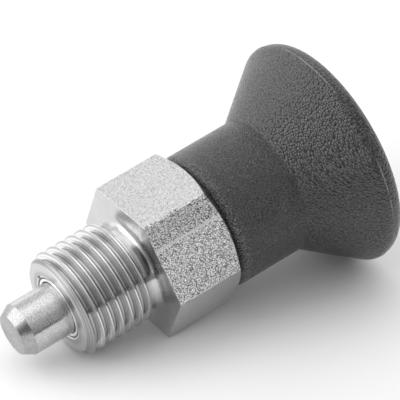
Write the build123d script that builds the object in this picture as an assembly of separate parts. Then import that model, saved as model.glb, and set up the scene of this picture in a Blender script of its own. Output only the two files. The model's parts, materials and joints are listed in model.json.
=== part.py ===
from build123d import *
import os
from math import asin, atan2, cos, degrees, hypot, radians, sin, sqrt, tan

# Indexing plunger, M10 x 1, with a mushroom grip and no rest position.
#
# A spring inside a threaded sleeve pushes the locking pin out at the front. Pulling the grip
# draws the pin back into the sleeve. Every piece is drawn about the plunger's own axis in
# millimetres: X runs from the pin's tip towards the grip, and X = 0 is the seat face of the
# hexagon. At the end the whole plunger is laid down on the front edge of one flat of the
# hexagon and on the rim of the grip, as it comes to rest on a bench.

# ---- Driving sizes: threaded sleeve ----
thread_diameter = 9.88  # major diameter of the M10 x 1 thread as cut
thread_length = 8.0  # seat face to the front face, relief included
thread_chamfer = 0.6  # 45 degree lead at the front
relief_diameter = 8.4  # thread relief next to the seat face
relief_length = 1.1
relief_corner = 0.2  # 45 degree corner between the relief and the seat face
relief_flank_angle = 60.0  # run-out side of the relief, from the axis
across_flats = 13.0
hex_length = 7.1
hex_chamfer_diameter = 12.5  # circle left on the rear face by the chamfer
hex_chamfer_angle = 30.0  # from the rear face
sleeve_neck_diameter = 9.6  # plain neck inside the grip
sleeve_neck_length = 7.9
sleeve_neck_chamfer = 0.4
spring_bore_diameter = 7.0
guide_length = 4.4  # front bore that guides the pin's nose
front_recess_diameter = 6.1  # shallow recess round the nose, at the front face
front_recess_depth = 0.25

# ---- Driving sizes: locking pin ----
nose_diameter = 5.0
nose_projection = 4.8  # how far the nose stands out of the sleeve
nose_chamfer_length = 1.0
nose_chamfer_angle = 30.0  # from the axis
pin_collar_thickness = 1.2
pin_collar_chamfer = 0.2
shank_diameter = 3.4  # one diameter to the end, so that the bush slides on from the rear
shank_end_chamfer = 0.3
held_length = 5.2  # rear end of the shank, held in the grip
retaining_groove_diameter = 2.6
retaining_groove_width = 1.2

# ---- Driving sizes: rear bush ----
bush_length = 2.8
bush_chamfer = 0.3

# ---- Driving sizes: compression spring ----
spring_wire = 0.55
spring_mean_diameter = 5.7
spring_active_turns = 4
spring_closed_turns = 0.75  # at each end
spring_ground_share = 0.35  # of the wire's thickness ground away at each end
spring_wire_facets = 6  # the round wire is drawn with this many flats

# ---- Driving sizes: mushroom grip ----
grip_neck_diameter = 13.0
grip_neck_length = 7.2
grip_front_chamfer = 0.3
grip_mouth_chamfer = 0.3
flare_angle = 37.2  # of the straight flare, from the axis
rim_diameter = 21.6
rim_front_radius = 1.1
rim_rear_radius = 1.6

# ---- Fits and running gaps ----
guide_clearance = 0.03  # radial, nose in guide bore and shank in bush
pin_collar_clearance = 0.2  # radial, pin collar in spring bore
stop_gap = 0.02  # pin collar to its shoulder at rest, so that the pin turns
grip_gap = 0.2  # grip to the hexagon's rear face
grip_neck_clearance = 0.25  # radial, grip round the sleeve's neck
grip_end_clearance = 0.3  # grip's inner end to the sleeve's rear end

# ---- Stations along the axis ----
front_face = -thread_length
shoulder = front_face + guide_length
sleeve_end = hex_length + sleeve_neck_length
bush_front = sleeve_end - bush_length
pin_tip = front_face - nose_projection
pin_collar_front = shoulder + stop_gap
pin_collar_rear = pin_collar_front + pin_collar_thickness
grip_front = hex_length + grip_gap
grip_cavity_end = sleeve_end + grip_end_clearance
flare_start = grip_front + grip_neck_length
pin_end = grip_cavity_end + held_length

# ---- Radii that follow ----
thread_radius = thread_diameter / 2
nose_radius = nose_diameter / 2
nose_tip_radius = nose_radius - nose_chamfer_length * tan(radians(nose_chamfer_angle))
guide_radius = nose_radius + guide_clearance
spring_bore_radius = spring_bore_diameter / 2
shank_radius = shank_diameter / 2
rim_radius = rim_diameter / 2


def turned(outline):
    """A solid of revolution about the plunger's axis from a closed outline of (x, radius)."""
    return revolve(make_face(outline), axis=Axis.X)


def make_thread_stub():
    """The threaded front of the sleeve at its major diameter, with its lead and relief."""
    relief_radius = relief_diameter / 2
    flank_length = (thread_radius - relief_radius) / tan(radians(relief_flank_angle))
    return turned(
        Polyline(
            (0, 0),
            (front_face, 0),
            (front_face, thread_radius - thread_chamfer),
            (front_face + thread_chamfer, thread_radius),
            (-relief_length - flank_length, thread_radius),
            (-relief_length, relief_radius),
            (-relief_corner, relief_radius),
            (0, relief_radius + relief_corner),
            close=True,
        )
    )


def make_hexagon():
    """The hexagon, with flats above and below the axis and its rear corners chamfered."""
    hexagon = RegularPolygon(radius=across_flats / 2, side_count=6, major_radius=False)
    prism = extrude(Plane.YZ * hexagon, hex_length)
    corner_radius = across_flats / 2 / cos(radians(30))
    chamfer_radius = hex_chamfer_diameter / 2
    chamfer_depth = (corner_radius - chamfer_radius) * tan(radians(hex_chamfer_angle))
    envelope = turned(
        Polyline(
            (0, 0),
            (0, corner_radius),
            (hex_length - chamfer_depth, corner_radius),
            (hex_length, chamfer_radius),
            (hex_length, 0),
            close=True,
        )
    )
    return prism & envelope


def make_sleeve_bore():
    """Everything bored out of the sleeve: front recess, guide bore and spring bore."""
    recess_radius = front_recess_diameter / 2
    return turned(
        Polyline(
            (front_face, 0),
            (front_face, recess_radius),
            (front_face + front_recess_depth, recess_radius - front_recess_depth),
            (front_face + front_recess_depth, guide_radius),
            (shoulder, guide_radius),
            (shoulder, spring_bore_radius),
            (sleeve_end, spring_bore_radius),
            (sleeve_end, 0),
            close=True,
        )
    )


def make_threaded_sleeve():
    """Thread, hexagon and plain neck turned from one bar, and bored through."""
    neck_radius = sleeve_neck_diameter / 2
    neck = turned(
        Polyline(
            (hex_length, 0),
            (hex_length, neck_radius),
            (sleeve_end - sleeve_neck_chamfer, neck_radius),
            (sleeve_end, neck_radius - sleeve_neck_chamfer),
            (sleeve_end, 0),
            close=True,
        )
    )
    return make_thread_stub() + make_hexagon() + neck - make_sleeve_bore()


def make_rear_bush():
    """Bush pressed into the sleeve's rear: it closes the spring in and guides the shank."""
    outer_radius = spring_bore_radius
    bore_radius = shank_radius + guide_clearance
    return turned(
        Polyline(
            (bush_front, bore_radius),
            (bush_front, outer_radius - bush_chamfer),
            (bush_front + bush_chamfer, outer_radius),
            (sleeve_end, outer_radius),
            (sleeve_end, bore_radius),
            close=True,
        )
    )


def make_locking_pin():
    """Pin turned from one bar: chamfered nose, stop collar, and shank grooved for the grip."""
    collar_radius = spring_bore_radius - pin_collar_clearance
    groove_radius = retaining_groove_diameter / 2
    groove_front = grip_cavity_end + (held_length - retaining_groove_width) / 2
    groove_rear = groove_front + retaining_groove_width
    return turned(
        Polyline(
            (pin_tip, 0),
            (pin_tip, nose_tip_radius),
            (pin_tip + nose_chamfer_length, nose_radius),
            (pin_collar_front, nose_radius),
            (pin_collar_front, collar_radius - pin_collar_chamfer),
            (pin_collar_front + pin_collar_chamfer, collar_radius),
            (pin_collar_rear, collar_radius),
            (pin_collar_rear, shank_radius),
            (groove_front, shank_radius),
            (groove_front, groove_radius),
            (groove_rear, groove_radius),
            (groove_rear, shank_radius),
            (pin_end - shank_end_chamfer, shank_radius),
            (pin_end, shank_radius - shank_end_chamfer),
            (pin_end, 0),
            close=True,
        )
    )


def make_spring_run(start, rise, first_turn, turns):
    """Wire wound for some turns from X = start, its section drawn in the plane of the axis.

    first_turn is how far round the coil the run begins, so that the runs follow on.
    """
    coil_radius = spring_mean_diameter / 2
    centre_line = Edge.make_helix(
        rise / turns, rise, coil_radius, center=(start, 0, 0), normal=(1, 0, 0)
    )
    across_wire = Plane(origin=centre_line @ 0, x_dir=(1, 0, 0), z_dir=(0, -1, 0))
    section = across_wire * RegularPolygon(spring_wire / 2, spring_wire_facets)
    return Rot(360 * first_turn, 0, 0) * sweep(section, path=centre_line, is_frenet=True)


def make_compression_spring():
    """Closed and ground at both ends, from the pin's collar to the rear bush."""
    end_inset = spring_wire * (0.5 - spring_ground_share)
    closed_rise = spring_wire * spring_closed_turns * 1.02
    front_turn = pin_collar_rear + end_inset
    rear_turn = bush_front - end_inset
    active_start = front_turn + closed_rise
    active_rise = rear_turn - front_turn - 2 * closed_rise
    active_end_turn = spring_closed_turns + spring_active_turns
    coils = make_spring_run(front_turn, closed_rise, 0, spring_closed_turns)
    coils += make_spring_run(
        active_start, active_rise, spring_closed_turns, spring_active_turns
    )
    coils += make_spring_run(
        rear_turn - closed_rise, closed_rise, active_end_turn, spring_closed_turns
    )
    seats_apart = extrude(
        Plane.YZ.offset(pin_collar_rear) * Circle(spring_bore_radius),
        bush_front - pin_collar_rear,
    )
    return coils & seats_apart


def grip_rim():
    """Centre of the rim's front round, in (x, radius): it blends the flare into the edge."""
    angle = radians(flare_angle)
    centre_radius = rim_radius - rim_front_radius
    flare_radius = centre_radius + rim_front_radius / cos(angle)
    rise = flare_radius - grip_neck_diameter / 2
    return flare_start + rise / tan(angle), centre_radius


def rim_arc(x, centre_radius, round_radius, start, end):
    """Arc of the rim's round, between two angles from the edge, rearward ones positive."""
    points = [
        (x + round_radius * sin(turn), centre_radius + round_radius * cos(turn))
        for turn in (start, (start + end) / 2, end)
    ]
    return ThreePointArc(*points)


def make_grip_outside():
    """Neck, flare, rounded rim and flat rear of the grip, as a closed solid."""
    neck_radius = grip_neck_diameter / 2
    rim_x, front_centre = grip_rim()
    front_round = rim_arc(rim_x, front_centre, rim_front_radius, -radians(flare_angle), 0)
    rear_round = rim_arc(
        rim_x, rim_radius - rim_rear_radius, rim_rear_radius, 0, radians(90)
    )
    front = Polyline(
        (grip_front, 0),
        (grip_front, neck_radius - grip_front_chamfer),
        (grip_front + grip_front_chamfer, neck_radius),
        (flare_start, neck_radius),
        front_round @ 0,
    )
    rear = Polyline(rear_round @ 1, (rim_x + rim_rear_radius, 0), (grip_front, 0))
    return turned(front + front_round + rear_round + rear)


def make_mushroom_grip(locking_pin):
    """One moulding: hollow neck round the sleeve, and solid round the pin's rear end."""
    cavity_radius = sleeve_neck_diameter / 2 + grip_neck_clearance
    mouth_radius = cavity_radius + grip_mouth_chamfer
    cavity = turned(
        Polyline(
            (grip_front, 0),
            (grip_front, mouth_radius),
            (grip_front + grip_mouth_chamfer, cavity_radius),
            (grip_cavity_end, cavity_radius),
            (grip_cavity_end, 0),
            close=True,
        )
    )
    return make_grip_outside() - cavity - locking_pin


def resting_place():
    """Where the plunger lies: its grip's rim and the first part of its body touch Z = 0.

    The ground line touches the rim's front round from below and turns up until it meets
    the body, so the smallest angle found is the one at which the plunger rests.
    """
    rim_x, round_radius = grip_rim()
    body_edges = [
        (0, across_flats / 2),
        (front_face + thread_chamfer, thread_radius),
        (front_face, thread_radius - thread_chamfer),
        (pin_tip + nose_chamfer_length, nose_radius),
        (pin_tip, nose_tip_radius),
    ]
    angles = []
    for x, radius in body_edges:
        run = rim_x - x
        drop = round_radius - radius
        angles.append(atan2(drop, run) + asin(rim_front_radius / hypot(run, drop)))
    tilt = min(angles)
    lowest = min(x * sin(tilt) - radius * cos(tilt) for x, radius in body_edges)
    return tilt, -lowest


sleeve = make_threaded_sleeve()
pin = make_locking_pin()
pieces = {
    "threaded_sleeve": sleeve,
    "rear_bush": make_rear_bush(),
    "locking_pin": pin,
    "compression_spring": make_compression_spring(),
    "mushroom_grip": make_mushroom_grip(pin),
}

tilt, axis_height = resting_place()
laid = {name: Rot(0, -degrees(tilt), 0) * piece for name, piece in pieces.items()}
ends = [laid[name].bounding_box() for name in ("locking_pin", "mushroom_grip")]
middle = (min(end.min.X for end in ends) + max(end.max.X for end in ends)) / 2

os.makedirs("parts", exist_ok=True)
for name, piece in laid.items():
    export_step(Pos(-middle, 0, axis_height) * piece, f"parts/{name}.step")
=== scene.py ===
"""Looks of the indexing plunger: steel with a real M10 x 1 thread, and a grained black grip.

New pieces are drawn in millimetres about the plunger's own axis: X runs from the pin's tip
towards the grip, and X = 0 is the seat face of the hexagon. Each finished mesh is then laid
down in the row frame, in metres and at the tilt at which the plunger lies.
"""

import json
from math import acos, asin, atan2, cos, hypot, pi, radians, sin, sqrt, tan

import bmesh
import bpy
from mathutils import Matrix, Vector


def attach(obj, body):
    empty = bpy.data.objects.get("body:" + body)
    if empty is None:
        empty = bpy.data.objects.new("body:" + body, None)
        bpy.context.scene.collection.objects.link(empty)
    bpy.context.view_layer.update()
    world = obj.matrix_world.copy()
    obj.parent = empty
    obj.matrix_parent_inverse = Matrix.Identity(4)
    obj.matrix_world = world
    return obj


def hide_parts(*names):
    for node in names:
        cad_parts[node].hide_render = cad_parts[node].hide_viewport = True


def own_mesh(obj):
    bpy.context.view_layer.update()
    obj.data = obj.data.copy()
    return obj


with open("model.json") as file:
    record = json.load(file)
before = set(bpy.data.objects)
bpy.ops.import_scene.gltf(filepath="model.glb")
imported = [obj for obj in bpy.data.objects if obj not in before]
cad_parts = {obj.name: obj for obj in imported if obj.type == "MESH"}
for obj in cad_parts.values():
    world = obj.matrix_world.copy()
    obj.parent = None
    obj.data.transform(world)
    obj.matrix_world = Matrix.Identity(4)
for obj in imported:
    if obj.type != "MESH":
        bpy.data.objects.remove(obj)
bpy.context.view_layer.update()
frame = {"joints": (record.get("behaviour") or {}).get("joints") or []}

MM = 0.001

# ---- Sizes of the CAD pieces, in millimetres ----
THREAD_RADIUS = 4.94
THREAD_LENGTH = 8.0
THREAD_CHAMFER = 0.6
RELIEF_RADIUS = 4.2
RELIEF_LENGTH = 1.1
RELIEF_FLANK_ANGLE = 60.0
ACROSS_FLATS = 13.0
HEX_LENGTH = 7.1
HEX_CHAMFER_RADIUS = 6.25
HEX_CHAMFER_ANGLE = 30.0
SLEEVE_NECK_RADIUS = 4.8
SLEEVE_NECK_LENGTH = 7.9
SLEEVE_NECK_CHAMFER = 0.4
SPRING_BORE_RADIUS = 3.5
GUIDE_RADIUS = 2.53
GUIDE_LENGTH = 4.4
RECESS_RADIUS = 3.05
RECESS_DEPTH = 0.25
NOSE_RADIUS = 2.5
NOSE_PROJECTION = 4.8
NOSE_CHAMFER_LENGTH = 1.0
NOSE_CHAMFER_ANGLE = 30.0
COLLAR_RADIUS = 3.3
COLLAR_THICKNESS = 1.2
COLLAR_CHAMFER = 0.2
STOP_GAP = 0.02
SHANK_RADIUS = 1.7
SHANK_END_CHAMFER = 0.3
HELD_LENGTH = 5.2
GROOVE_RADIUS = 1.3
GROOVE_WIDTH = 1.2
BUSH_LENGTH = 2.8
BUSH_CHAMFER = 0.3
BUSH_BORE_RADIUS = 1.73
SPRING_WIRE = 0.55
SPRING_MEAN_DIAMETER = 5.7
SPRING_ACTIVE_TURNS = 4
SPRING_CLOSED_TURNS = 0.75
SPRING_GROUND_SHARE = 0.35
SPRING_CLOSED_PITCH = 1.02  # of the closed turns, in wire thicknesses
GRIP_NECK_RADIUS = 6.5
GRIP_NECK_LENGTH = 7.2
GRIP_GAP = 0.2
GRIP_CAVITY_RADIUS = 5.05
GRIP_MOUTH_CHAMFER = 0.3
GRIP_END_CLEARANCE = 0.3
FLARE_ANGLE = 37.2
RIM_RADIUS = 10.8
RIM_FRONT_RADIUS = 1.1
RIM_REAR_RADIUS = 1.6

# ---- Stations along the axis ----
FRONT_FACE = -THREAD_LENGTH
SHOULDER = FRONT_FACE + GUIDE_LENGTH
SLEEVE_END = HEX_LENGTH + SLEEVE_NECK_LENGTH
BUSH_FRONT = SLEEVE_END - BUSH_LENGTH
PIN_TIP = FRONT_FACE - NOSE_PROJECTION
COLLAR_FRONT = SHOULDER + STOP_GAP
COLLAR_REAR = COLLAR_FRONT + COLLAR_THICKNESS
GRIP_FRONT = HEX_LENGTH + GRIP_GAP
CAVITY_END = SLEEVE_END + GRIP_END_CLEARANCE
FLARE_START = GRIP_FRONT + GRIP_NECK_LENGTH
PIN_END = CAVITY_END + HELD_LENGTH
HELD_GROOVE_FRONT = CAVITY_END + (HELD_LENGTH - GROOVE_WIDTH) / 2
HELD_GROOVE_REAR = HELD_GROOVE_FRONT + GROOVE_WIDTH

# ---- Fine form that only the visual pieces have, in millimetres ----
THREAD_PITCH = 1.0
THREAD_DEPTH = 0.6
THREAD_FLANK_ANGLE = 30.0
THREAD_ROOT_WIDTH = 0.18
THREAD_CREST_ROUND = 0.03
THREAD_PHASE = 0.475  # where the groove's helix crosses +Y, in pitches
THREAD_RUN_OUT = 0.4  # how far the groove runs into the relief, in pitches
GROOVE_CUTTER_HEIGHT = 0.3  # of the cutter over the crest
GROOVE_MOUTH_LIFT = 0.004  # so that the eased mouth crosses the crest cleanly
RELIEF_FILLET = 0.6
LIP_INNER_RADIUS = 2.62  # raised ring in the recess round the pin
LIP_OUTER_RADIUS = 2.85
LIP_DEPTH = 0.03
LIP_GROOVE_DEPTH = 0.14
LIP_SLOPE = 0.05
TURNED_EDGE = 0.05
NOSE_TIP_ROUND = 0.08
NOSE_SHOULDER_ROUND = 0.12
HEX_EDGE = 0.03
HEX_REAR_EDGE = 0.12
HEX_CORNER_ROUND = 0.08
GRIP_FRONT_ROUND = 0.6
FLARE_ROOT_ROUND = 0.25
PARTING_LINE_HEIGHT = 0.05
PARTING_LINE_WIDTH = 0.1
SPRING_WIRE_SIDES = 14
WELD_DISTANCE = 1e-5
SHARP_ANGLE = 32.0  # between faces, in degrees: a wider turn stays a sharp edge
WIDE_FACE_WEIGHT = 60

# ---- Where the flare ends in the rim's round ----
FLARE_RISE = (
    RIM_RADIUS - RIM_FRONT_RADIUS + RIM_FRONT_RADIUS / cos(radians(FLARE_ANGLE)) - GRIP_NECK_RADIUS
)
RIM_PLACE = FLARE_START + FLARE_RISE / tan(radians(FLARE_ANGLE))
PARTING_LINE_PLACE = RIM_PLACE + PARTING_LINE_WIDTH / 2

# ---- Marks on the steel and one dark patch, in millimetres from the plunger's own origin ----
MARKED_FLAT = (0, -cos(pi / 6), sin(pi / 6))  # the flat with the draw line faces this way
MARKED_FLAT_UP = (0, sin(pi / 6), cos(pi / 6))
DRAW_LINE_PLACE = 1.45
DRAW_LINE_WIDTH = 0.13
DRAW_BAND_WIDTH = 0.3
DRAW_BAND_TONE = 0.86
NICK_ALONG = (0, -0.76, 0.65)  # directions of its length and of its width
NICK_ACROSS = (0, 0.65, 0.76)
NICK_PLACE = (-0.32, 3.14)  # along and across
NICK_HALF_LENGTH = (0.35, 0.25)  # where it starts to show, and where it is full
NICK_HALF_WIDTH = (0.13, 0.08)
# The dark L on the relief: a leg round the axis, and a foot along it. Each soft limit is
# where it starts to show and where it is full.
DARK_L_LEG_FRONT = (-0.95, -0.65)
DARK_L_LEG_REAR = (-0.1, -0.35)
DARK_L_LEG_START = (113, 124)  # degrees about the axis from +Y
DARK_L_FOOT_FRONT = (-1.4, -1.2)
DARK_L_FOOT_START = (155, 159)  # degrees
DARK_L_END = (167, 163)  # degrees
DARK_L_FRONT_LIMIT = -1.5
DARK_L_REAR_LIMIT = (0.0, -0.1)
DARK_L_TONE = 0.28

# ---- Tones of the turned steel, as (place, tone), most of them painted highlights and shade ----
# Base tone of the cut thread, under its painted highlights and shade.
THREAD_CUT_TONE = 0.94
# Painted highlights and shade across one pitch, with the groove's middle at 0.5.
THREAD_PAINTED_LIGHT_TONES = (
    (0.0, 0.85), (0.06, 0.85), (0.09, 0.35), (0.38, 0.35), (0.43, 0.5), (0.55, 0.5),
    (0.585, 0.45), (0.62, 0.5), (0.66, 1.0), (0.8, 1.0), (0.9, 0.6), (0.95, 0.5),
    (0.97, 0.85),
)
# Painted highlights and shade in rings outwards from the nose, as a share of the span,
# which is in millimetres.
FACE_RING_SPAN = 2.5
FACE_PAINTED_LIGHT_TONES = (
    (0.03, 0.2), (0.045, 1.0), (0.135, 1.0), (0.155, 0.2), (0.2, 0.1), (0.215, 0.8),
    (0.25, 0.75), (0.28, 0.45), (0.42, 0.45), (0.52, 0.62),
)
# The chamfer's grey is painted darker, as shade that dims its reflection.
FACE_CHAMFER_PAINTED_SHADE = 0.35
FACE_ROUGHNESS = 0.28
# The pin's chamfer is darker, partly a duller turned finish and partly painted shade on its
# highlight.
CUT_END_TONE = 0.72
SOFT_EDGE = 0.05  # half the width over which one finish changes to the next, in millimetres

# ---- Grain: scales are in cells to a millimetre, depths in millimetres ----
# Noise is flat on the planes of its own lattice, so this times half the width across flats
# must not be a whole number.
BAR_GRAIN = 13.0
BAR_GRAIN_DEPTH = 0.08
TOOL_MARK_DEPTH = 0.02
FLARE_GRAIN = 4.6
FLARE_GRAIN_DEPTH = 0.11
NECK_GRAIN = 11.0
NECK_GRAIN_DEPTH = 0.06
# Scale of the painted glints on painted shade near the grip's mouth.
MOUTH_PAINTED_GLINTS = 9.5
# Tone of the painted highlight along the parting line.
PARTING_LINE_HIGHLIGHT_TONE = 0.24
GRIP_ROUGHNESS = 0.16
GRIP_IOR = 1.66

# ---- Camera, in millimetres and degrees ----
CAMERA_AIM = (1.26, -0.727, 11.03)  # in the row frame
CAMERA_DISTANCE = 292.29
CAMERA_AZIMUTH = -35.38
CAMERA_ELEVATION = 34.64
CAMERA_ROLL = 1.04
CAMERA_LENS = 299.88

# ---- Studio: directions as (azimuth, elevation), reaches as (full, gone), in degrees ----
BACKDROP_DIRECTION = (-160, 15)
BACKDROP_REACH = (70, 105)
UNLIT_DIRECTION = (-44, 18)
UNLIT_REACH = (18, 30)
UNLIT_TONE = 0.18
STUDIO_LEVEL = 0.86
# Up the surround, as (place, brightness): 0.5 is the horizon and 1 is overhead.
FRONT_TONES = ((0.5, 0.05), (0.54, 0.05), (0.57, 0.42), (0.66, 0.52), (0.81, 0.68), (0.9, 1.1))
BACK_TONES = ((0.5, 1.6), (0.66, 1.6), (0.75, 1.0), (0.86, 0.88), (0.97, 1.05))
FLOOR_REACH = 1.5
FLOOR_TONES = ((0.3, 0.96), (0.7, 0.97))
SOFTBOX_AIM_HEIGHT = 0.01

# ---- Where the plunger lies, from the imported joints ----
JOINTS = {joint["name"]: joint for joint in frame["joints"]}
AXIS = Vector(JOINTS["pull"]["axis"]).normalized()
SEAT = Vector(JOINTS["spin"]["pos_m"])
TILT = asin(AXIS.z)
LAID_DOWN = Matrix.Translation(SEAT) @ Matrix.Rotation(-TILT, 4, "Y") @ Matrix.Scale(MM, 4)


# ---- Outlines and meshes ----
def rounded(corners, steps=4):
    """Closed outline of (x, radius) points from corners of (x, radius, round radius)."""
    outline = []
    count = len(corners)
    for i, (x, r, size) in enumerate(corners):
        corner = Vector((x, r))
        before = Vector(corners[i - 1][:2]) - corner
        after = Vector(corners[(i + 1) % count][:2]) - corner
        if size == 0:
            outline.append((x, r))
            continue
        before.normalize()
        after.normalize()
        half_angle = acos(max(-1.0, min(1.0, before.dot(after)))) / 2
        reach = size / tan(half_angle)
        centre = corner + (before + after).normalized() * (size / sin(half_angle))
        start = corner + before * reach - centre
        end = corner + after * reach - centre
        sweep = atan2(start.x * end.y - start.y * end.x, start.dot(end))
        for step in range(steps + 1):
            turn = sweep * step / steps
            c, s = cos(turn), sin(turn)
            outline.append(
                (
                    centre.x + start.x * c - start.y * s,
                    centre.y + start.x * s + start.y * c,
                )
            )
    return outline


def make_object(name, vertices, faces, material):
    mesh = bpy.data.meshes.new(name)
    mesh.from_pydata(vertices, [], faces)
    mesh.validate()
    mesh.update()
    obj = bpy.data.objects.new(name, mesh)
    bpy.context.scene.collection.objects.link(obj)
    obj.data.materials.append(material)
    return obj


def turn_outlines(name, angles, outline_at, material):
    """Mesh from one closed outline of (x, radius) at each angle about the axis."""
    vertices = []
    for angle in angles:
        for x, r in outline_at(angle):
            vertices.append((x, r * cos(angle), r * sin(angle)))
    size = len(vertices) // len(angles)
    faces = []
    for i in range(len(angles)):
        j = (i + 1) % len(angles)
        for k in range(size):
            m = (k + 1) % size
            faces.append((i * size + k, i * size + m, j * size + m, j * size + k))
    return make_object(name, vertices, faces, material)


def turned(name, corners, columns, material, steps=4):
    """Piece turned about the axis from corners of (x, radius, round radius)."""
    outline = rounded(corners, steps)
    angles = [2 * pi * i / columns for i in range(columns)]
    return turn_outlines(name, angles, lambda angle: outline, material)


def tube_faces(rings, size):
    """Faces of a tube through rings of points, with both its ends closed."""
    faces = [tuple(range(size)), tuple(reversed(range((rings - 1) * size, rings * size)))]
    for i in range(rings - 1):
        for k in range(size):
            m = (k + 1) % size
            a, b = i * size, (i + 1) * size
            faces.append((a + k, b + k, b + m, a + m))
    return faces


def close_skin(obj):
    """Welds the points that meet on the axis, and turns every face outwards."""
    work = bmesh.new()
    work.from_mesh(obj.data)
    bmesh.ops.remove_doubles(work, verts=work.verts, dist=WELD_DISTANCE)
    bmesh.ops.dissolve_degenerate(work, edges=work.edges, dist=WELD_DISTANCE)
    bmesh.ops.recalc_face_normals(work, faces=work.faces)
    work.to_mesh(obj.data)
    work.free()


def smooth(obj):
    """Smooth shading that keeps wide faces flat and edges over the angle sharp."""
    obj.data.polygons.foreach_set("use_smooth", [True] * len(obj.data.polygons))
    obj.data.set_sharp_from_angle(angle=radians(SHARP_ANGLE))
    weighting = obj.modifiers.new("wide_faces_stay_flat", "WEIGHTED_NORMAL")
    weighting.keep_sharp = True
    weighting.weight = WIDE_FACE_WEIGHT


def put_in_place(obj, body, node):
    """Lays the finished piece down in the row frame, hangs it on its body and hides its CAD node.
    """
    smooth(obj)
    obj.data.transform(LAID_DOWN)
    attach(obj, body)
    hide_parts(node)


# ---- Node materials ----
def grey(tone):
    return (tone, tone, tone, 1)


class Nodes:
    """Adds nodes to a material or world, and links what is given as another node's socket."""

    def __init__(self, owner):
        owner.use_nodes = True
        self.tree = owner.node_tree
        self.tree.nodes.clear()

    def add(self, kind, inputs=None, **settings):
        node = self.tree.nodes.new("ShaderNode" + kind)
        for name, value in settings.items():
            setattr(node, name, value)
        for name, value in (inputs or {}).items():
            socket = node.inputs[name]
            if isinstance(value, bpy.types.NodeSocket):
                self.tree.links.new(value, socket)
            else:
                socket.default_value = value
        return node

    def maths(self, operation, *values):
        return self.add("Math", dict(enumerate(values)), operation=operation).outputs[0]

    def product(self, first, *others):
        """Values multiplied together, for shares that all have to hold."""
        for other in others:
            first = self.maths("MULTIPLY", first, other)
        return first

    def dot(self, vector, direction):
        inputs = {0: vector, 1: direction}
        return self.add("VectorMath", inputs, operation="DOT_PRODUCT").outputs["Value"]

    def ramp(self, value, *stops):
        """Grey ramp through (place, tone) stops."""
        node = self.add("ValToRGB", {"Fac": value})
        elements = node.color_ramp.elements
        while len(elements) < len(stops):
            elements.new(0.5)
        for element, (place, tone) in zip(elements, stops):
            element.position = place
            element.color = grey(tone)
        return node.outputs["Color"]

    def noise(self, vector, scale, detail=2.0, roughness=0.5):
        inputs = {"Vector": vector, "Scale": scale, "Detail": detail, "Roughness": roughness}
        return self.add("TexNoise", inputs).outputs["Fac"]

    def cells(self, vector, scale):
        """Distance from the middle of the nearest cell: 0 at its middle, more at its edge."""
        return self.add("TexVoronoi", {"Vector": vector, "Scale": scale}).outputs["Distance"]

    def along_one_line(self, place):
        """Vector for noise that changes with one value only."""
        return self.add("CombineXYZ", {"X": place}).outputs[0]

    def plunger_coordinates(self):
        """Millimetres about the plunger's axis, from the piece's own coordinates."""
        level = Matrix.Rotation(TILT, 4, "Y")
        inputs = {
            "Vector": self.add("TexCoord").outputs["Object"],
            "Scale": (1 / MM,) * 3,
            "Rotation": (0, TILT, 0),
            "Location": level @ (SEAT / -MM),
        }
        return self.add("Mapping", inputs, vector_type="POINT").outputs[0]

    def round_the_axis(self, where):
        """World direction that runs round the plunger's axis, for turned finishes."""
        across = self.add("VectorMath", {0: (1, 0, 0), 1: where}, operation="CROSS_PRODUCT")
        laid = {"Vector": across.outputs[0], "Rotation": (0, -TILT, 0)}
        laid_down = self.add("Mapping", laid, vector_type="VECTOR")
        turn = {"Vector": laid_down.outputs[0]}
        settings = {"vector_type": "VECTOR", "convert_from": "OBJECT", "convert_to": "WORLD"}
        return self.add("VectorTransform", turn, **settings).outputs[0]

    def blend(self, share, first, second):
        inputs = {"Factor": share, "A": first, "B": second}
        return self.add("Mix", inputs, data_type="FLOAT").outputs["Result"]

    def mix_colours(self, share, first, second):
        node = self.add("Mix", {0: share, 6: first, 7: second}, data_type="RGBA")
        return node.outputs[2]

    def tint(self, first, second):
        """The first colour times the second."""
        inputs = {0: 1.0, 6: first, 7: second}
        return self.add("Mix", inputs, data_type="RGBA", blend_type="MULTIPLY").outputs[2]

    def between(self, value, start, end):
        """0 at the start value, 1 at the end value, and a soft step between them."""
        inputs = {"Value": value, "From Min": start, "From Max": end}
        return self.add("MapRange", inputs, interpolation_type="SMOOTHSTEP").outputs[0]

    def bump(self, height, strength, depth):
        """Normal of a surface whose height runs over a depth in metres."""
        inputs = {"Height": height, "Strength": strength, "Distance": depth}
        return self.add("Bump", inputs).outputs["Normal"]

    def finish(self, kind, inputs):
        shader = self.add(kind, inputs)
        self.add("OutputMaterial", {"Surface": shader.outputs[0]})


def new_material(name):
    material = bpy.data.materials.new(name)
    return material, Nodes(material)


def axial_coordinates(nodes, where):
    """(place along the axis, distance from it): what is drawn with them runs round the axis."""
    parts = nodes.add("SeparateXYZ", {"Vector": where}).outputs
    flat = nodes.add("CombineXYZ", {"Y": parts[1], "Z": parts[2]}).outputs[0]
    across = nodes.add("VectorMath", {0: flat}, operation="LENGTH").outputs["Value"]
    return parts[0], across


def turn_of(nodes, where):
    """Turns about the axis from +Y, between -0.5 and 0.5."""
    parts = nodes.add("SeparateXYZ", {"Vector": where}).outputs
    return nodes.maths("DIVIDE", nodes.maths("ARCTAN2", parts[2], parts[1]), 2 * pi)


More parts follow.
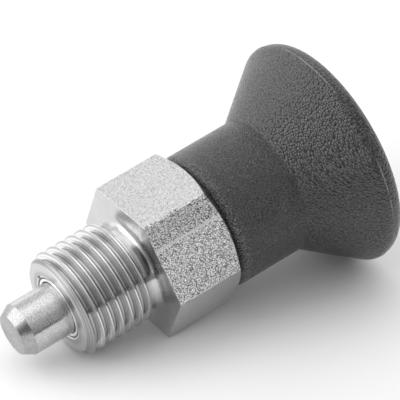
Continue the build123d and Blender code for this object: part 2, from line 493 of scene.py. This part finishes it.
def thread_painted_light_and_lines(nodes, where, along, colour):
    """Painted light and shade across each turn of the thread: a pale crest and a rear flank that
    is bright next to the root, both painted highlights, a front flank darkened by painted shade,
    and a grey root. Fine tool lines follow the helix."""
    turns_along = nodes.maths("DIVIDE", along, THREAD_PITCH)
    place = nodes.maths("SUBTRACT", turns_along, turn_of(nodes, where))
    place = nodes.maths("FRACT", nodes.maths("SUBTRACT", place, THREAD_PHASE - 0.5))
    # Painted highlights and shade, set by place on the helix and not by the light.
    shade = nodes.ramp(place, *THREAD_PAINTED_LIGHT_TONES)
    on_thread = nodes.maths("LESS_THAN", along, -RELIEF_LENGTH - 0.3)
    cut_share = nodes.product(on_thread, nodes.between(along, FRONT_FACE, FRONT_FACE + 0.7))
    lines = nodes.noise(nodes.along_one_line(place), scale=14.0, detail=1.0)
    lines = nodes.ramp(lines, (0.35, 0.8), (0.65, 1.1))
    cut_colour = nodes.tint(nodes.tint(grey(THREAD_CUT_TONE), shade), lines)
    return nodes.mix_colours(cut_share, colour, cut_colour)


def nick_on_face(nodes, where):
    """Share of the one dark nick at the edge of the recess."""
    length = nodes.maths("SUBTRACT", nodes.dot(where, NICK_ALONG), NICK_PLACE[0])
    width = nodes.maths("SUBTRACT", nodes.dot(where, NICK_ACROSS), NICK_PLACE[1])
    return nodes.product(
        nodes.between(nodes.maths("ABSOLUTE", length), *NICK_HALF_LENGTH),
        nodes.between(nodes.maths("ABSOLUTE", width), *NICK_HALF_WIDTH),
    )


def front_face_painted_light_and_marks(nodes, where, along, across, colour):
    """Tones of the sleeve's front, the same all the way round but for one nick: rings round the
    pin and a turned ring beyond them, painted as highlights and shade, fine turning lines, and a
    grey chamfer painted darker as shade."""
    off_nose = nodes.maths("SUBTRACT", across, NOSE_RADIUS)
    # Painted highlights and shade in rings round the nose; in the recess they lighten its shade.
    painted_rings = nodes.ramp(nodes.maths("DIVIDE", off_nose, FACE_RING_SPAN), *FACE_PAINTED_LIGHT_TONES)
    on_face = nodes.between(along, FRONT_FACE + 0.08, FRONT_FACE + 0.02)
    in_recess = nodes.maths("LESS_THAN", across, RECESS_RADIUS)
    on_face = nodes.maths("MAXIMUM", on_face, in_recess)
    end_tone = nodes.mix_colours(on_face, grey(FACE_CHAMFER_PAINTED_SHADE), painted_rings)
    rings = nodes.noise(nodes.along_one_line(across), scale=12.0, detail=1.0)
    end_tone = nodes.tint(end_tone, nodes.ramp(rings, (0.35, 0.76), (0.65, 1.2)))
    chamfer_end = FRONT_FACE + THREAD_CHAMFER
    on_end = nodes.between(along, chamfer_end + SOFT_EDGE, chamfer_end - SOFT_EDGE)
    colour = nodes.mix_colours(on_end, colour, end_tone)
    nick = nodes.product(nick_on_face(nodes, where), on_face)
    return nodes.mix_colours(nick, colour, grey(0.01))


def relief_dark_l(nodes, where, along):
    """Tint that darkens an L-shaped patch on the relief."""
    angle = nodes.maths("MULTIPLY", turn_of(nodes, where), 360.0)
    leg = nodes.product(
        nodes.between(along, *DARK_L_LEG_FRONT),
        nodes.between(along, *DARK_L_LEG_REAR),
        nodes.between(angle, *DARK_L_LEG_START),
    )
    foot = nodes.product(
        nodes.between(angle, *DARK_L_FOOT_START), nodes.between(along, *DARK_L_FOOT_FRONT)
    )
    # The relief's colour is painted darker in this L.
    dark_l = nodes.product(
        nodes.maths("MAXIMUM", leg, foot),
        nodes.between(angle, *DARK_L_END),
        nodes.maths("GREATER_THAN", along, DARK_L_FRONT_LIMIT),
        nodes.between(along, *DARK_L_REAR_LIMIT),
    )
    return nodes.mix_colours(dark_l, grey(1), grey(DARK_L_TONE))


def turned_steel(
    name, tone, roughness, mark_strength, anisotropy=0.6, threaded=False, cut_end=None
):
    """Bright turned steel: fine tool marks round the axis and faint stains.

    threaded adds the sleeve's own tones: painted highlights and shade on its thread and its front,
    and a dark L on its relief. cut_end is where a plain end begins, darker partly as a duller
    finish and partly as painted shade on its highlight.
    """
    material, nodes = new_material(name)
    where = nodes.plunger_coordinates()
    along, across = axial_coordinates(nodes, where)
    rings = nodes.add("CombineXYZ", {"X": along, "Y": across}).outputs[0]
    marks = nodes.noise(rings, scale=9.0, detail=4.0, roughness=0.65)
    stains = nodes.noise(where, scale=0.9, detail=3.0, roughness=0.6)
    colour = nodes.ramp(stains, (0.3, tone * 0.92), (0.7, tone))
    rough = nodes.blend(marks, roughness * 0.8, roughness * 1.25)
    if threaded:
        colour = thread_painted_light_and_lines(nodes, where, along, colour)
        colour = front_face_painted_light_and_marks(nodes, where, along, across, colour)
        colour = nodes.tint(colour, relief_dark_l(nodes, where, along))
        at_front = nodes.between(along, FRONT_FACE + 0.4, FRONT_FACE + 0.3)
        rough = nodes.blend(at_front, rough, FACE_ROUGHNESS)
    if cut_end is not None:
        speckle = nodes.noise(where, scale=7.0, detail=0.0)
        colour = nodes.tint(colour, nodes.ramp(speckle, (0.35, 0.84), (0.5, 1.0), (0.65, 1.06)))
        # Darker end: partly a duller finish, partly painted shade on its highlight.
        on_end = nodes.between(along, cut_end + SOFT_EDGE, cut_end - SOFT_EDGE)
        colour = nodes.tint(colour, nodes.mix_colours(on_end, grey(1), grey(CUT_END_TONE)))
    bump = nodes.bump(marks, mark_strength, TOOL_MARK_DEPTH * MM)
    nodes.finish(
        "BsdfPrincipled",
        {
            "Base Color": colour,
            "Metallic": 1.0,
            "Roughness": rough,
            "Anisotropic": anisotropy,
            "Anisotropic Rotation": 0.25,
            "Normal": bump,
            "Tangent": nodes.round_the_axis(where),
        },
    )
    return material


def drawn_bar_steel(name, tone, roughness):
    """Flats of the drawn bar: matt and finely grained, one of them with a draw line. On that flat
    the grain is painted with dark pits and pale tops, as painted light and shade.
    """
    material, nodes = new_material(name)
    where = nodes.plunger_coordinates()
    facing = nodes.dot(where, MARKED_FLAT)
    on_flat = nodes.maths("GREATER_THAN", facing, ACROSS_FLATS / 2 - 0.2)
    off_line = nodes.maths("SUBTRACT", nodes.dot(where, MARKED_FLAT_UP), DRAW_LINE_PLACE)

    height = nodes.noise(where, BAR_GRAIN, detail=0.0)
    fine = nodes.ramp(height, (0.36, tone * 0.7), (0.5, tone * 0.97), (0.6, tone * 1.02))
    # Painted light and shade on the marked flat: the same grain, with near-black pits and tops
    # paler than the steel.
    marked_flat_painted_contrast = nodes.ramp(height, (0.41, 0.0), (0.46, tone * 0.98), (0.58, tone * 1.38))
    colour = nodes.mix_colours(on_flat, fine, marked_flat_painted_contrast)
    line = nodes.between(nodes.maths("ABSOLUTE", off_line), DRAW_LINE_WIDTH, DRAW_LINE_WIDTH / 2)
    line = nodes.product(line, on_flat)
    band = nodes.product(nodes.between(off_line, 0, DRAW_BAND_WIDTH), on_flat)
    colour = nodes.tint(colour, nodes.mix_colours(band, grey(1), grey(DRAW_BAND_TONE)))
    colour = nodes.mix_colours(line, colour, grey(1))
    height = nodes.blend(line, height, 0.6)
    relief = nodes.blend(on_flat, 0.5, 1.0)
    nodes.finish(
        "BsdfPrincipled",
        {
            "Base Color": colour,
            "Metallic": 1.0,
            "Roughness": roughness,
            "Normal": nodes.bump(height, relief, BAR_GRAIN_DEPTH * MM),
        },
    )
    return material


def grip_plastic(name):
    """Black thermoplastic with a leather grain, coarser on the flare than on the neck."""
    material, nodes = new_material(name)
    where = nodes.plunger_coordinates()
    along = nodes.add("SeparateXYZ", {"Vector": where}).outputs[0]
    on_flare = nodes.between(along, FLARE_START - 0.3, FLARE_START + 0.3)
    near_mouth = nodes.between(along, GRIP_FRONT + 1.3, GRIP_FRONT + 0.5)
    pebbles = nodes.cells(where, FLARE_GRAIN)
    fine = nodes.between(nodes.noise(where, NECK_GRAIN, detail=0.0), 0.7, 0.3)
    pebbles = nodes.blend(on_flare, fine, pebbles)
    shade = nodes.noise(where, scale=0.35)
    colour = nodes.ramp(shade, (0.3, 0.9), (0.7, 1.0))
    # Pale pebble tops and near-black hollows: partly the grain's own tone, partly painted sheen on
    # the tops and painted shade in the hollows.
    colour = nodes.tint(colour, nodes.ramp(pebbles, (0.15, 0.075), (0.5, 0.015), (0.75, 0.002)))
    # Near the mouth the colour is near-black with bright specks: painted shade where the hexagon
    # shades the grip, and painted glints.
    speckle = nodes.noise(where, MOUTH_PAINTED_GLINTS, detail=0.0)
    speckle = nodes.ramp(speckle, (0.5, 0.002), (0.62, 0.16))
    colour = nodes.mix_colours(near_mouth, colour, speckle)
    # The parting line is painted pale, a painted highlight along its ridge, broken into patches by
    # noise.
    off_line = nodes.maths("ABSOLUTE", nodes.maths("SUBTRACT", along, PARTING_LINE_PLACE))
    on_line = nodes.between(off_line, PARTING_LINE_WIDTH, PARTING_LINE_WIDTH / 4)
    patchy = nodes.between(nodes.noise(where, scale=0.4), 0.42, 0.58)
    on_line = nodes.product(on_line, patchy)
    colour = nodes.mix_colours(on_line, colour, grey(PARTING_LINE_HIGHLIGHT_TONE))
    height = nodes.maths("SUBTRACT", 1.0, pebbles)
    depth = nodes.blend(on_flare, NECK_GRAIN_DEPTH * MM, FLARE_GRAIN_DEPTH * MM)
    nodes.finish(
        "BsdfPrincipled",
        {
            "Base Color": colour,
            "Roughness": GRIP_ROUGHNESS,
            "IOR": GRIP_IOR,
            "Normal": nodes.bump(height, 1.0, depth),
        },
    )
    return material


# ---- Threaded sleeve ----
def hexagon_radius(angle):
    """Distance from the axis to the hexagon's outline, its corners rounded."""
    sector = pi / 3
    off_flat = (angle - pi / 2 + sector / 2) % sector - sector / 2
    flat = ACROSS_FLATS / 2
    corner = flat / cos(sector / 2)
    round_centre = corner - HEX_CORNER_ROUND / cos(sector / 2)
    off_corner = sector / 2 - abs(off_flat)
    under_root = HEX_CORNER_ROUND**2 - (round_centre * sin(off_corner)) ** 2
    straight = flat / cos(off_flat)
    if under_root < 0:
        return straight
    return min(straight, round_centre * cos(off_corner) + sqrt(under_root))


def sleeve_angles():
    """Angles of the sleeve's columns: even steps, and a few more round each hexagon corner."""
    flat_steps = 28
    corner_steps = 6
    corner_radius = ACROSS_FLATS / 2 / cos(pi / 6)
    # Half the angle that a corner's round takes up.
    corner_half = HEX_CORNER_ROUND * tan(pi / 6) / corner_radius
    angles = []
    for side in range(6):
        corner = side * pi / 3
        for step in range(corner_steps):
            angles.append(corner - corner_half + 2 * corner_half * step / corner_steps)
        start = corner + corner_half
        width = pi / 3 - 2 * corner_half
        for step in range(flat_steps):
            angles.append(start + width * step / flat_steps)
    return angles


def sleeve_outline(angle):
    """Closed outline of the sleeve at one angle, the thread still a plain cylinder."""
    corner_radius = hexagon_radius(angle)
    chamfer_height = corner_radius - HEX_CHAMFER_RADIUS
    chamfer_start = HEX_LENGTH - chamfer_height * tan(radians(HEX_CHAMFER_ANGLE))
    flank = (THREAD_RADIUS - RELIEF_RADIUS) / tan(radians(RELIEF_FLANK_ANGLE))
    edge = TURNED_EDGE
    return rounded(
        [
            (FRONT_FACE + RECESS_DEPTH, GUIDE_RADIUS, 0),
            (FRONT_FACE + RECESS_DEPTH, LIP_INNER_RADIUS - LIP_SLOPE, 0),
            (FRONT_FACE + LIP_DEPTH, LIP_INNER_RADIUS, edge),
            (FRONT_FACE + LIP_DEPTH, LIP_OUTER_RADIUS, edge),
            (FRONT_FACE + LIP_GROOVE_DEPTH, LIP_OUTER_RADIUS + LIP_SLOPE, 0),
            (FRONT_FACE + LIP_GROOVE_DEPTH, RECESS_RADIUS - LIP_SLOPE, 0),
            (FRONT_FACE, RECESS_RADIUS, edge),
            (FRONT_FACE, THREAD_RADIUS - THREAD_CHAMFER, edge),
            (FRONT_FACE + THREAD_CHAMFER, THREAD_RADIUS, edge),
            (-RELIEF_LENGTH - flank, THREAD_RADIUS, edge),
            (-RELIEF_LENGTH, RELIEF_RADIUS, edge),
            (0, RELIEF_RADIUS, RELIEF_FILLET),
            (0, corner_radius, HEX_EDGE),
            (chamfer_start, corner_radius, HEX_REAR_EDGE),
            (HEX_LENGTH, HEX_CHAMFER_RADIUS, edge),
            (HEX_LENGTH, SLEEVE_NECK_RADIUS, edge),
            (SLEEVE_END - SLEEVE_NECK_CHAMFER, SLEEVE_NECK_RADIUS, edge),
            (SLEEVE_END, SLEEVE_NECK_RADIUS - SLEEVE_NECK_CHAMFER, edge),
            (SLEEVE_END, SPRING_BORE_RADIUS, 0),
            (SHOULDER, SPRING_BORE_RADIUS, 0),
            (SHOULDER, GUIDE_RADIUS, 0),
        ],
        steps=3,
    )


def groove_section():
    """Section of the thread groove as (along, radius), its mouth eased onto the crest."""
    flank = radians(THREAD_FLANK_ANGLE)
    root = THREAD_RADIUS - THREAD_DEPTH
    round_centre = THREAD_RADIUS - THREAD_CREST_ROUND + GROOVE_MOUTH_LIFT
    tangent_radius = round_centre + THREAD_CREST_ROUND * sin(flank)
    tangent_along = THREAD_ROOT_WIDTH / 2 + (tangent_radius - root) * tan(flank)
    centre_along = tangent_along + THREAD_CREST_ROUND * cos(flank)
    side = [(THREAD_ROOT_WIDTH / 2, root)]
    steps = 4
    for step in range(steps + 1):
        turn = flank + (pi / 2 - flank) * step / steps
        side.append(
            (
                centre_along - THREAD_CREST_ROUND * cos(turn),
                round_centre + THREAD_CREST_ROUND * sin(turn),
            )
        )
    side.append((centre_along, THREAD_RADIUS + GROOVE_CUTTER_HEIGHT))
    return [(-along, radius) for along, radius in reversed(side)] + side


def thread_groove(material):
    """Solid that cuts the right-hand groove, from in front of the sleeve into its relief."""
    section = groove_section()
    steps_per_turn = 96
    start = FRONT_FACE - THREAD_PITCH
    end = -RELIEF_LENGTH + THREAD_RUN_OUT * THREAD_PITCH
    first = (start / THREAD_PITCH - THREAD_PHASE) * 2 * pi
    rings = int((end - start) / THREAD_PITCH * steps_per_turn) + 1
    vertices = []
    for i in range(rings):
        angle = first + 2 * pi * i / steps_per_turn
        centre = start + THREAD_PITCH * i / steps_per_turn
        for along, radius in section:
            vertices.append((centre + along, radius * cos(angle), radius * sin(angle)))
    return make_object("thread_groove", vertices, tube_faces(rings, len(section)), material)


def cut(obj, cutter):
    """Takes the cutter out of the object and removes it."""
    cutting = obj.modifiers.new("cut", "BOOLEAN")
    cutting.operation = "DIFFERENCE"
    cutting.solver = "EXACT"
    cutting.object = cutter
    bpy.context.view_layer.update()
    evaluated = obj.evaluated_get(bpy.context.evaluated_depsgraph_get())
    mesh = bpy.data.meshes.new_from_object(evaluated)
    obj.modifiers.clear()
    obj.data = mesh
    bpy.data.objects.remove(cutter)


def make_sleeve(turned_material, bar_material):
    sleeve = turn_outlines("sleeve", sleeve_angles(), sleeve_outline, turned_material)
    close_skin(sleeve)
    groove = thread_groove(turned_material)
    close_skin(groove)
    cut(sleeve, groove)
    sleeve.data.materials.append(bar_material)
    bar_reach = ACROSS_FLATS / 2 - 0.05
    for face in sleeve.data.polygons:
        faces_out = abs(face.normal.x) < 0.35  # neither the seat face nor the chamfer
        off_axis = hypot(face.center.y, face.center.z)
        if 0 < face.center.x < HEX_LENGTH and faces_out and off_axis > bar_reach:
            face.material_index = 1
    put_in_place(sleeve, "sleeve", "threaded_sleeve")


def make_bush(material):
    bush = turned(
        "bush",
        [
            (BUSH_FRONT, BUSH_BORE_RADIUS, TURNED_EDGE),
            (BUSH_FRONT, SPRING_BORE_RADIUS - BUSH_CHAMFER, TURNED_EDGE),
            (BUSH_FRONT + BUSH_CHAMFER, SPRING_BORE_RADIUS, TURNED_EDGE),
            (SLEEVE_END, SPRING_BORE_RADIUS, TURNED_EDGE),
            (SLEEVE_END, BUSH_BORE_RADIUS, TURNED_EDGE),
        ],
        columns=96,
        material=material,
    )
    close_skin(bush)
    put_in_place(bush, "sleeve", "rear_bush")


def make_pin(material):
    tip_radius = NOSE_RADIUS - NOSE_CHAMFER_LENGTH * tan(radians(NOSE_CHAMFER_ANGLE))
    pin = turned(
        "pin",
        [
            (PIN_TIP, 0, 0),
            (PIN_TIP, tip_radius, NOSE_TIP_ROUND),
            (PIN_TIP + NOSE_CHAMFER_LENGTH, NOSE_RADIUS, NOSE_SHOULDER_ROUND),
            (COLLAR_FRONT, NOSE_RADIUS, 0),
            (COLLAR_FRONT, COLLAR_RADIUS - COLLAR_CHAMFER, 0),
            (COLLAR_FRONT + COLLAR_CHAMFER, COLLAR_RADIUS, TURNED_EDGE),
            (COLLAR_REAR, COLLAR_RADIUS, TURNED_EDGE),
            (COLLAR_REAR, SHANK_RADIUS, 0),
            (HELD_GROOVE_FRONT, SHANK_RADIUS, TURNED_EDGE),
            (HELD_GROOVE_FRONT, GROOVE_RADIUS, 0),
            (HELD_GROOVE_REAR, GROOVE_RADIUS, 0),
            (HELD_GROOVE_REAR, SHANK_RADIUS, TURNED_EDGE),
            (PIN_END - SHANK_END_CHAMFER, SHANK_RADIUS, TURNED_EDGE),
            (PIN_END, SHANK_RADIUS - SHANK_END_CHAMFER, TURNED_EDGE),
            (PIN_END, 0, 0),
        ],
        columns=144,
        material=material,
    )
    close_skin(pin)
    put_in_place(pin, "plunger", "locking_pin")


def spring_stations():
    """(turns, x) along the wire's centre line: closed turns, active turns, closed turns."""
    inset = SPRING_WIRE * (0.5 - SPRING_GROUND_SHARE)
    closed_rise = SPRING_WIRE * SPRING_CLOSED_TURNS * SPRING_CLOSED_PITCH
    front = COLLAR_REAR + inset
    rear = BUSH_FRONT - inset
    return [
        (0, front),
        (SPRING_CLOSED_TURNS, front + closed_rise),
        (SPRING_CLOSED_TURNS + SPRING_ACTIVE_TURNS, rear - closed_rise),
        (2 * SPRING_CLOSED_TURNS + SPRING_ACTIVE_TURNS, rear),
    ]


def make_spring(material):
    """Round wire; its end turns are ground flat on the collar and on the bush."""
    coil_radius = SPRING_MEAN_DIAMETER / 2
    steps_per_turn = 72
    stations = spring_stations()
    vertices = []
    rings = 0
    for (turn_a, x_a), (turn_b, x_b) in zip(stations, stations[1:]):
        steps = round((turn_b - turn_a) * steps_per_turn)
        last = turn_b == stations[-1][0]
        for step in range(steps + (1 if last else 0)):
            share = step / steps
            angle = pi / 2 + 2 * pi * (turn_a + (turn_b - turn_a) * share)
            x = x_a + (x_b - x_a) * share
            for side in range(SPRING_WIRE_SIDES):
                around = 2 * pi * side / SPRING_WIRE_SIDES
                radius = coil_radius + SPRING_WIRE / 2 * cos(around)
                along = x + SPRING_WIRE / 2 * sin(around)
                along = max(COLLAR_REAR, min(BUSH_FRONT, along))
                vertices.append((along, radius * cos(angle), radius * sin(angle)))
            rings += 1
    spring = make_object("spring", vertices, tube_faces(rings, SPRING_WIRE_SIDES), material)
    close_skin(spring)
    put_in_place(spring, "spring", "compression_spring")
    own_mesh(spring)


def make_grip(material):
    rear = RIM_PLACE + RIM_REAR_RADIUS
    # Corner in which the flare, carried on, would meet the rim's cylinder.
    edge_x = FLARE_START + (RIM_RADIUS - GRIP_NECK_RADIUS) / tan(radians(FLARE_ANGLE))
    grip = turned(
        "grip",
        [
            (GRIP_FRONT, GRIP_CAVITY_RADIUS + GRIP_MOUTH_CHAMFER, TURNED_EDGE),
            (GRIP_FRONT, GRIP_NECK_RADIUS, GRIP_FRONT_ROUND),
            (FLARE_START, GRIP_NECK_RADIUS, FLARE_ROOT_ROUND),
            (edge_x, RIM_RADIUS, RIM_FRONT_RADIUS),
            (PARTING_LINE_PLACE, RIM_RADIUS + PARTING_LINE_HEIGHT, PARTING_LINE_HEIGHT / 2),
            (RIM_PLACE + PARTING_LINE_WIDTH, RIM_RADIUS, 0),
            (rear, RIM_RADIUS, RIM_REAR_RADIUS - PARTING_LINE_WIDTH),
            (rear, 0, 0),
            (PIN_END, 0, 0),
            (PIN_END, SHANK_RADIUS - SHANK_END_CHAMFER, 0),
            (PIN_END - SHANK_END_CHAMFER, SHANK_RADIUS, 0),
            (HELD_GROOVE_REAR, SHANK_RADIUS, 0),
            (HELD_GROOVE_REAR, GROOVE_RADIUS, 0),
            (HELD_GROOVE_FRONT, GROOVE_RADIUS, 0),
            (HELD_GROOVE_FRONT, SHANK_RADIUS, 0),
            (CAVITY_END, SHANK_RADIUS, 0),
            (CAVITY_END, GRIP_CAVITY_RADIUS, TURNED_EDGE),
            (GRIP_FRONT + GRIP_MOUTH_CHAMFER, GRIP_CAVITY_RADIUS, TURNED_EDGE),
        ],
        columns=180,
        material=material,
        steps=12,
    )
    close_skin(grip)
    put_in_place(grip, "plunger", "mushroom_grip")


# ---- Floor, lights and camera ----
def make_floor():
    material, nodes = new_material("pale_floor")
    speckle = nodes.noise(nodes.add("TexCoord").outputs["Object"], scale=40.0)
    nodes.finish("BsdfDiffuse", {"Color": nodes.ramp(speckle, *FLOOR_TONES)})
    reach = FLOOR_REACH
    corners = [(-reach, -reach, 0), (reach, -reach, 0), (reach, reach, 0), (-reach, reach, 0)]
    mesh = bpy.data.meshes.new("floor")
    mesh.from_pydata(corners, [], [(0, 1, 2, 3)])
    floor = bpy.data.objects.new("floor", mesh)
    bpy.context.scene.collection.objects.link(floor)
    floor.data.materials.append(material)


def direction_of(azimuth, elevation):
    """Unit vector from the plunger; azimuth 0 is towards -Y, and 90 towards +X."""
    level = cos(radians(elevation))
    turn = radians(azimuth)
    return Vector((level * sin(turn), -level * cos(turn), sin(radians(elevation))))


def make_world():
    """Studio surround: a bright backdrop, a greyer front, and one unlit patch low in the front."""
    world = bpy.data.worlds.new("studio")
    bpy.context.scene.world = world
    nodes = Nodes(world)
    direction = nodes.add("TexCoord").outputs["Generated"]

    def spot(azimuth, elevation, inner, outer):
        """1 within the inner angle of a direction, fading to 0 at the outer one."""
        near = nodes.dot(direction, direction_of(azimuth, elevation))
        return nodes.between(near, cos(radians(outer)), cos(radians(inner)))

    height = nodes.add("SeparateXYZ", {"Vector": direction}).outputs[2]
    height = nodes.maths("MULTIPLY_ADD", height, 0.5, 0.5)
    front = nodes.ramp(height, *FRONT_TONES)
    back = nodes.ramp(height, *BACK_TONES)
    tone = nodes.mix_colours(spot(*BACKDROP_DIRECTION, *BACKDROP_REACH), front, back)
    tone = nodes.mix_colours(spot(*UNLIT_DIRECTION, *UNLIT_REACH), tone, grey(UNLIT_TONE))
    background = nodes.add("Background", {"Color": tone, "Strength": STUDIO_LEVEL})
    nodes.add("OutputWorld", {"Surface": background.outputs[0]})


def make_softbox(name, azimuth, elevation, distance, width, height, brightness):
    """Area lamp aimed at the plunger, its sizes in metres and its brightness that of its face."""
    lamp = bpy.data.lights.new(name, "AREA")
    lamp.shape = "RECTANGLE"
    lamp.size = width
    lamp.size_y = height
    lamp.energy = STUDIO_LEVEL * brightness * pi * width * height
    holder = bpy.data.objects.new(name, lamp)
    bpy.context.scene.collection.objects.link(holder)
    place = direction_of(azimuth, elevation) * distance
    holder.rotation_mode = "QUATERNION"
    holder.rotation_quaternion = place.to_track_quat("Z", "Y")
    holder.location = place + Vector((0, 0, SOFTBOX_AIM_HEIGHT))


def make_lamps():
    make_softbox(
        "left_softbox",
        azimuth=-118,
        elevation=34,
        distance=0.40,
        width=0.50,
        height=0.31,
        brightness=2.0,
    )
    make_softbox(
        "top_softbox",
        azimuth=150,
        elevation=80,
        distance=0.40,
        width=0.30,
        height=0.30,
        brightness=0.7,
    )


def make_camera():
    camera = bpy.data.cameras.new("camera")
    camera.lens = CAMERA_LENS
    camera.sensor_width = 36.0
    camera.clip_start = 0.01
    camera.clip_end = 20.0
    holder = bpy.data.objects.new("camera", camera)
    bpy.context.scene.collection.objects.link(holder)
    turn = (
        Matrix.Rotation(radians(CAMERA_AZIMUTH), 4, "Z")
        @ Matrix.Rotation(radians(90 - CAMERA_ELEVATION), 4, "X")
        @ Matrix.Rotation(radians(CAMERA_ROLL), 4, "Z")
    )
    aim = Vector(CAMERA_AIM) * MM
    back = turn @ Vector((0, 0, CAMERA_DISTANCE * MM))
    holder.matrix_world = Matrix.Translation(aim + back) @ turn
    bpy.context.scene.camera = holder


make_camera()
make_floor()
make_world()
make_lamps()

turned_finish = turned_steel(
    "sleeve_turned_steel",
    tone=0.64,
    roughness=0.22,
    mark_strength=0.3,
    anisotropy=0.7,
    threaded=True,
)
bar_finish = drawn_bar_steel("sleeve_drawn_bar_steel", tone=0.71, roughness=0.2)
bush_finish = turned_steel("bush_turned_steel", tone=0.64, roughness=0.25, mark_strength=0.3)
pin_finish = turned_steel(
    "pin_ground_steel",
    tone=0.6,
    roughness=0.26,
    mark_strength=0.4,
    anisotropy=0.85,
    cut_end=PIN_TIP + NOSE_CHAMFER_LENGTH,
)
spring_finish = turned_steel("spring_wire_steel", tone=0.58, roughness=0.3, mark_strength=0.2)
make_sleeve(turned_finish, bar_finish)
make_bush(bush_finish)
make_pin(pin_finish)
make_spring(spring_finish)
make_grip(grip_plastic("grip_grained_plastic"))

bpy.context.scene.view_settings.view_transform = "Standard"
